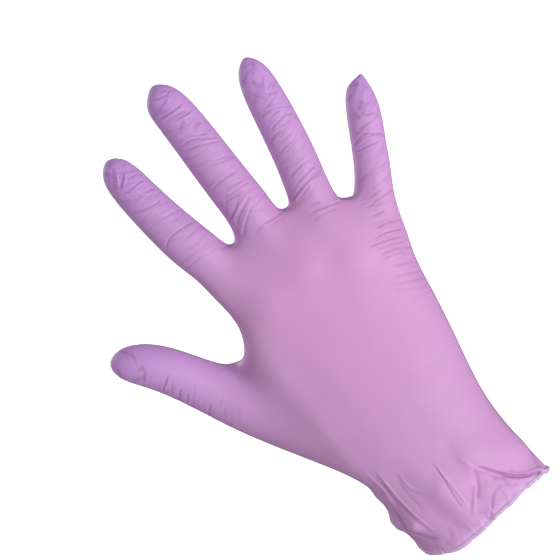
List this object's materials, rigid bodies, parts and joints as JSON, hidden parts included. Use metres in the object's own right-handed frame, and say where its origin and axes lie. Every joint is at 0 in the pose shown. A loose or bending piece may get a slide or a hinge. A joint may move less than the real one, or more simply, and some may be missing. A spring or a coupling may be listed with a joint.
{
  "type": "nitrile exam glove",
  "caption": "Thin disposable examination glove in its worn form, fingers spread, with a loose wrinkled cuff and a rolled hem.",
  "frame": {"origin": "centre of the cuff opening, at the mean height of the hem", "axes": "+Z from the cuff opening to the fingertips, -Y out of the back of the hand, +Y out of the palm, thumb on the -X side"},
  "size_m": [0.1623, 0.048, 0.2374],
  "materials": {
    "nitrile_film": "matte"
  },
  "bodies": {
    "root": {"glove": "nitrile_film"}
  },
  "joints": []
}
